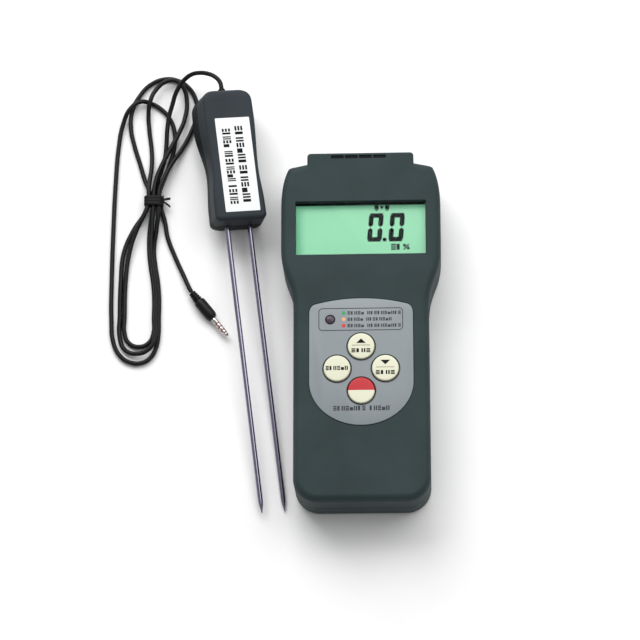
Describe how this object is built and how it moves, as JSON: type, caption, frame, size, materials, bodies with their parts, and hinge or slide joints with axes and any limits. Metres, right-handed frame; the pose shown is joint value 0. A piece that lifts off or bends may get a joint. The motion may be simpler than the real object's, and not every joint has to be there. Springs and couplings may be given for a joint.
{
  "type": "moisture meter",
  "caption": "Handheld moisture meter with a green display and round keys, lying beside its two-pin probe, whose thin tied lead ends in a small jack plug.",
  "frame": {"origin": "centre of the meter's flat back face, on which it lies", "axes": "+Y runs along the meter to its nose, +Z out of the display, +X to the right when it is read"},
  "size_m": [0.1522, 0.2117, 0.0296],
  "materials": {
    "case_plastic": "fine moulded texture",
    "dark_plastic": "fine moulded texture",
    "panel_film": "satin printed film",
    "key_cream": "satin",
    "key_red": "satin",
    "lens_clear": "clear",
    "lcd_green": "backlit",
    "white_plastic": "satin",
    "label_paper": "coated",
    "board_green": "solder mask",
    "plated_metal": "nickel plate",
    "screw_steel": "zinc plate",
    "pin_steel": "polished",
    "mat_rubber": "matte",
    "lead_rubber": "satin",
    "insulator_red": "satin",
    "indicator_dark": "gloss",
    "cell_wrap": "gloss film"
  },
  "bodies": {
    "meter": {"front_cover": "case_plastic", "back_cover": "case_plastic", "end_plate": "dark_plastic", "jack_socket": "dark_plastic", "keypad_panel": "panel_film", "window_lens": "lens_clear", "lcd_glass": "lcd_green", "lcd_backlight": "white_plastic", "main_board": "board_green", "contact_rear_left": "plated_metal", "contact_rear_right": "plated_metal", "contact_front_left": "plated_metal", "contact_front_middle": "plated_metal", "contact_front_right": "plated_metal", "case_screw_1": "screw_steel", "case_screw_2": "screw_steel", "case_screw_3": "screw_steel", "case_screw_4": "screw_steel", "board_screw_1": "screw_steel", "board_screw_2": "screw_steel", "board_screw_3": "screw_steel", "board_screw_4": "screw_steel", "key_mat": "mat_rubber", "indicator_led": "indicator_dark", "cell_1": "cell_wrap", "cell_2": "cell_wrap", "cell_3": "cell_wrap", "cell_4": "cell_wrap"},
    "key_up": {"key_up": "key_cream"},
    "key_select": {"key_select": "key_cream"},
    "key_down": {"key_down": "key_cream"},
    "key_power": {"key_power": "key_red"},
    "battery_door": {"battery_door": "case_plastic"},
    "probe": {"handle_front_shell": "case_plastic", "handle_back_shell": "dark_plastic", "handle_label": "label_paper", "handle_screw_1": "screw_steel", "handle_screw_2": "screw_steel", "pin_left": "pin_steel", "pin_right": "pin_steel", "pin_holder": "white_plastic", "lead_boot": "lead_rubber", "lead_to_tie": "lead_rubber", "lead_loop_a": "lead_rubber", "lead_loop_b": "lead_rubber", "lead_loop_c": "lead_rubber", "lead_to_plug": "lead_rubber", "lead_hank": "lead_rubber", "lead_tie": "lead_rubber", "plug_strain_relief": "lead_rubber", "plug_overmould": "lead_rubber", "plug_sleeve": "plated_metal", "plug_ring_rear": "plated_metal", "plug_ring_front": "plated_metal", "plug_tip": "plated_metal", "insulator_sleeve": "insulator_red", "insulator_ring_rear": "insulator_red", "insulator_ring_front": "insulator_red"}
  },
  "joints": [
    {"name": "key_up_press", "type": "slide", "parent": "meter", "child": "key_up", "axis": [0, 0, -1], "range_m": [0, 0.0008], "stiffness_N_per_m": 1200},
    {"name": "key_select_press", "type": "slide", "parent": "meter", "child": "key_select", "axis": [0, 0, -1], "range_m": [0, 0.0008], "stiffness_N_per_m": 1200},
    {"name": "key_down_press", "type": "slide", "parent": "meter", "child": "key_down", "axis": [0, 0, -1], "range_m": [0, 0.0008], "stiffness_N_per_m": 1200},
    {"name": "key_power_press", "type": "slide", "parent": "meter", "child": "key_power", "axis": [0, 0, -1], "range_m": [0, 0.0008], "stiffness_N_per_m": 1200},
    {"name": "battery_door_slide", "type": "slide", "parent": "meter", "child": "battery_door", "axis": [0, -1, 0], "range_m": [0, 0.066]},
    {"name": "probe_lift", "type": "slide", "parent": "meter", "child": "probe", "axis": [0, 0, 1], "range_m": [0, 0.1]}
  ]
}
